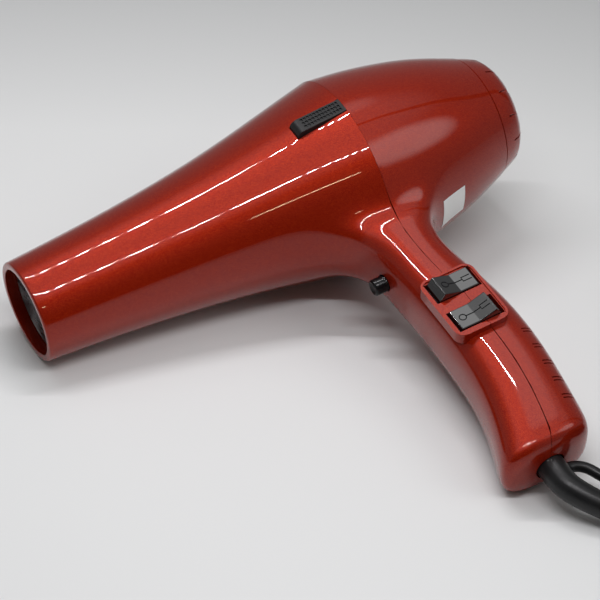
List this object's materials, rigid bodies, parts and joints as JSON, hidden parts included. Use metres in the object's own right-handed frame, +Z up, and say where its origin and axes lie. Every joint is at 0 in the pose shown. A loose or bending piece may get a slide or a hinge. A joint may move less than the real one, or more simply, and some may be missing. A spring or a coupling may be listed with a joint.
{
  "type": "hair_dryer",
  "caption": "Red hand-held hair dryer lying on its side, two black rockers and a cool-shot button in the handle, twist-off rear air cap, moulded cord with hanging loop, coiled lead and plug",
  "frame": {"origin": "middle of the dryer's bounding box (sleeve, cord, coil and plug left out) on the surface it lies on", "axes": "+Z up; +X along the barrel from the nozzle to the rear cap; -Y towards the foot of the handle"},
  "size_m": [0.29, 0.3417, 0.0896],
  "materials": {
    "red_shell": "glossy metallic red with a clear coat",
    "black_plastic": "semi-gloss black moulding",
    "black_rubber": "soft black rubber and cord jacket",
    "mica": "satin mica sheet",
    "resistance_wire": "drawn wire",
    "steel": "bright steel",
    "copper": "enamelled copper",
    "brass": "bright brass",
    "carbon": "matt carbon",
    "yellow_capacitor": "satin plastic case",
    "pale_nylon": "satin moulding"
  },
  "bodies": {
    "dryer": {"brush_holder_lower": "brass", "brush_holder_upper": "brass", "carbon_brush_lower": "carbon", "carbon_brush_upper": "carbon", "cool_shot_spring": "steel", "cool_shot_switch": "black_plastic", "cord_clamp": "pale_nylon", "cord_coil": "black_rubber", "cord_tail": "black_rubber", "field_coil_lower": "copper", "field_coil_upper": "copper", "front_bracket": "black_plastic", "front_housing": "red_shell", "grip_pad": "black_plastic", "handle_screw_lower": "steel", "handle_screw_upper": "steel", "heat_switch": "black_plastic", "heating_coil": "resistance_wire", "mica_boards": "mica", "mica_sleeve": "mica", "motor_carrier": "pale_nylon", "nozzle_grille": "black_plastic", "plug_body": "black_plastic", "plug_pin_left": "brass", "plug_pin_right": "brass", "power_cord": "black_rubber", "rear_bracket": "black_plastic", "rear_housing": "red_shell", "rubber_ring_front": "black_rubber", "rubber_ring_rear": "black_rubber", "shaft_bearing_front": "steel", "shaft_bearing_rear": "steel", "speed_switch": "black_plastic", "stator_core": "steel", "strain_relief": "black_rubber", "suppressor_capacitor": "yellow_capacitor", "thermal_fuse": "steel", "thermostat": "steel"},
    "heat_rocker": {"heat_rocker": "black_plastic"},
    "speed_rocker": {"speed_rocker": "black_plastic"},
    "cool_shot_button": {"cool_shot_button": "black_plastic"},
    "rotor": {"motor_shaft": "steel", "armature_core": "steel", "armature_winding_front": "copper", "armature_winding_rear": "copper", "commutator": "copper", "fan": "black_plastic"},
    "rear_cap": {"rear_filter_cap": "red_shell", "filter_mesh": "steel"}
  },
  "joints": [
    {"name": "heat_selector", "type": "hinge", "parent": "dryer", "child": "heat_rocker", "pos_m": [0.03573, -0.02734, 0.0445], "axis": [-0.0217, 0.9875, 0.156], "range_deg": [-20, 0]},
    {"name": "speed_selector", "type": "hinge", "parent": "dryer", "child": "speed_rocker", "pos_m": [0.03611, -0.04471, 0.04175], "axis": [-0.0217, 0.9875, 0.156], "range_deg": [0, 20]},
    {"name": "cool_shot_press", "type": "slide", "parent": "dryer", "child": "cool_shot_button", "axis": [0.9905, 0, 0.1377], "range_m": [0, 0.0025], "stiffness_N_per_m": 300, "springref_m": -0.002, "deforming": ["cool_shot_spring"]},
    {"name": "rotor_spin", "type": "hinge", "parent": "dryer", "child": "rotor", "pos_m": [0.03815, 0.0679, 0.04453], "axis": [0.9905, 0, 0.1377], "continuous": true},
    {"name": "cap_twist", "type": "hinge", "parent": "dryer", "child": "rear_cap", "pos_m": [0.1059, 0.0679, 0.05395], "axis": [0.9905, 0, 0.1377], "range_deg": [0, 25]}
  ]
}
